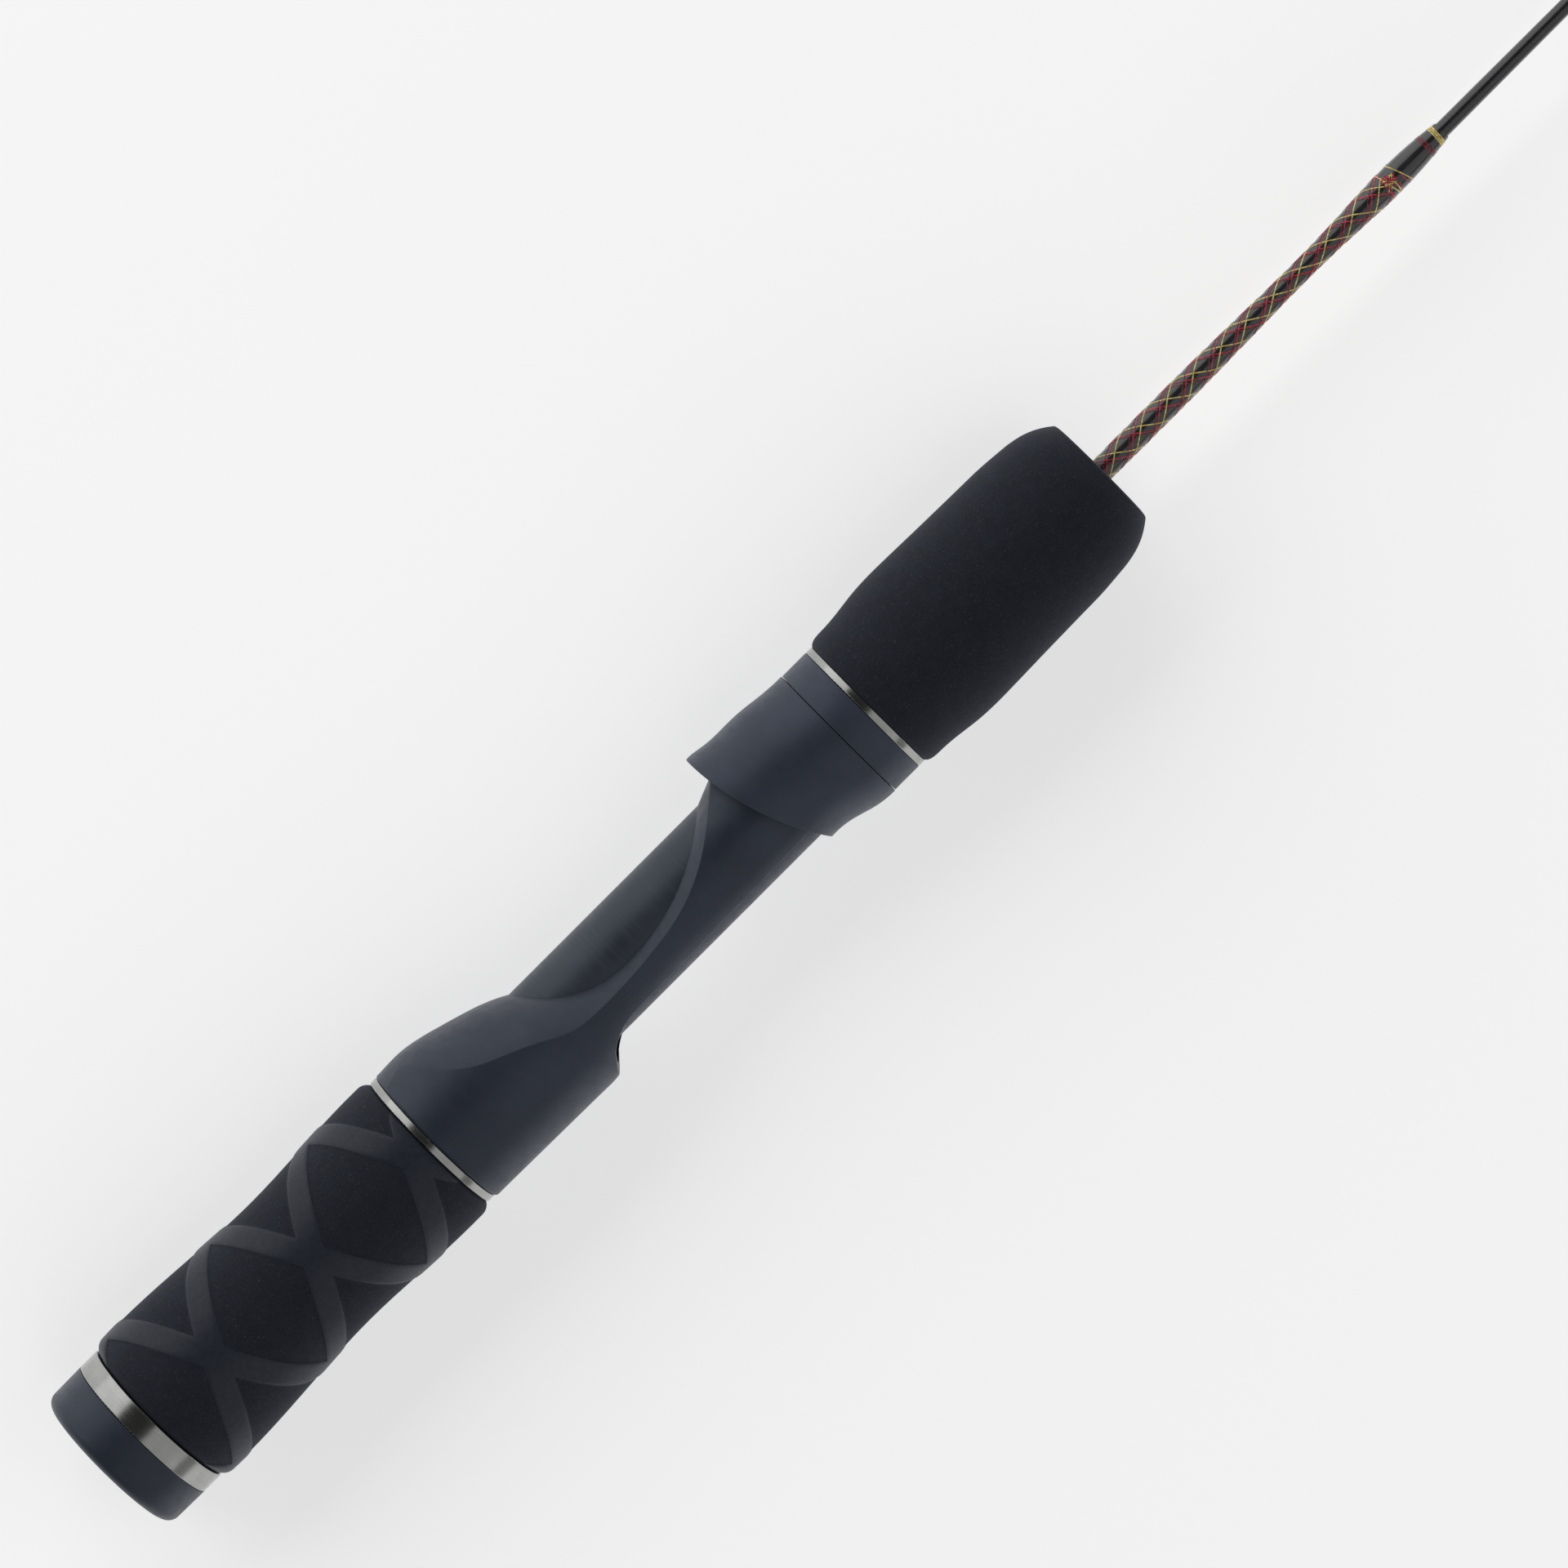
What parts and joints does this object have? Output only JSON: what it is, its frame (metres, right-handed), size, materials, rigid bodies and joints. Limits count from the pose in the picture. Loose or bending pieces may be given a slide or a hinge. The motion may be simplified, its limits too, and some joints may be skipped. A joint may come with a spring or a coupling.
{
  "type": "ice fishing rod",
  "caption": "Short spinning rod for ice fishing: foam handle, screw-down reel seat with a fixed and a sliding hood, tapered blank, line guides and tip ring.",
  "frame": {"origin": "middle of the flat butt face, on the rod's centre line", "axes": "+X along the rod from butt to tip, +Y to the rod's back, away from the reel, +Z to one flank: the rod lies on its side"},
  "size_m": [0.6604, 0.0326, 0.0282],
  "materials": {
    "seat_plastic": "matte slate-black moulded plastic",
    "core_plastic": "matte black plastic",
    "foam": "sanded closed-cell foam with a pressed diamond lattice",
    "trim_metal": "polished and clear anodised",
    "blank_gloss": "gloss black lacquer over carbon composite",
    "thread_varnish": "thread under clear gloss epoxy",
    "guide_steel": "polished stainless steel",
    "ring_ceramic": "polished dark ceramic"
  },
  "bodies": {
    "root": {"butt_cap": "seat_plastic", "butt_ring": "trim_metal", "rear_grip": "foam", "seat_ring": "trim_metal", "handle_tube": "core_plastic", "arbor_rear": "core_plastic", "arbor_middle": "core_plastic", "arbor_front": "core_plastic", "nose_bush": "core_plastic", "reel_seat": "seat_plastic", "blank": "blank_gloss", "solid_tip": "blank_gloss", "butt_wrap": "thread_varnish", "butt_wrap_finish": "thread_varnish", "guide_1_frame": "guide_steel", "guide_1_ring": "ring_ceramic", "guide_1_rear_wrap": "thread_varnish", "guide_1_front_wrap": "thread_varnish", "guide_2_frame": "guide_steel", "guide_2_ring": "ring_ceramic", "guide_2_front_wrap": "thread_varnish", "guide_3_frame": "guide_steel", "guide_3_ring": "ring_ceramic", "guide_3_front_wrap": "thread_varnish", "guide_4_frame": "guide_steel", "guide_4_ring": "ring_ceramic", "guide_4_front_wrap": "thread_varnish", "tip_top": "guide_steel", "tip_top_ring": "ring_ceramic", "tip_wrap": "thread_varnish"},
    "slip_ring": {"slip_ring": "core_plastic"},
    "hood": {"hood": "seat_plastic"},
    "foregrip": {"lock_nut": "seat_plastic", "grip_ring": "trim_metal", "foregrip": "foam"}
  },
  "joints": [
    {"name": "grip_travel", "type": "slide", "parent": "root", "child": "slip_ring", "axis": [1, 0, 0], "range_m": [-0.009, 0.0105]},
    {"name": "hood_turn", "type": "hinge", "parent": "slip_ring", "child": "hood", "pos_m": [0.1584, 0, 0], "axis": [1, 0, 0], "continuous": true},
    {"name": "foregrip_turn", "type": "hinge", "parent": "slip_ring", "child": "foregrip", "pos_m": [0.1584, 0, 0], "axis": [1, 0, 0], "range_deg": [-1080, 1260]}
  ],
  "couplings": [
    {"joint": "grip_travel", "follows": "foregrip_turn", "m_per_rad": 0.00047746}
  ]
}
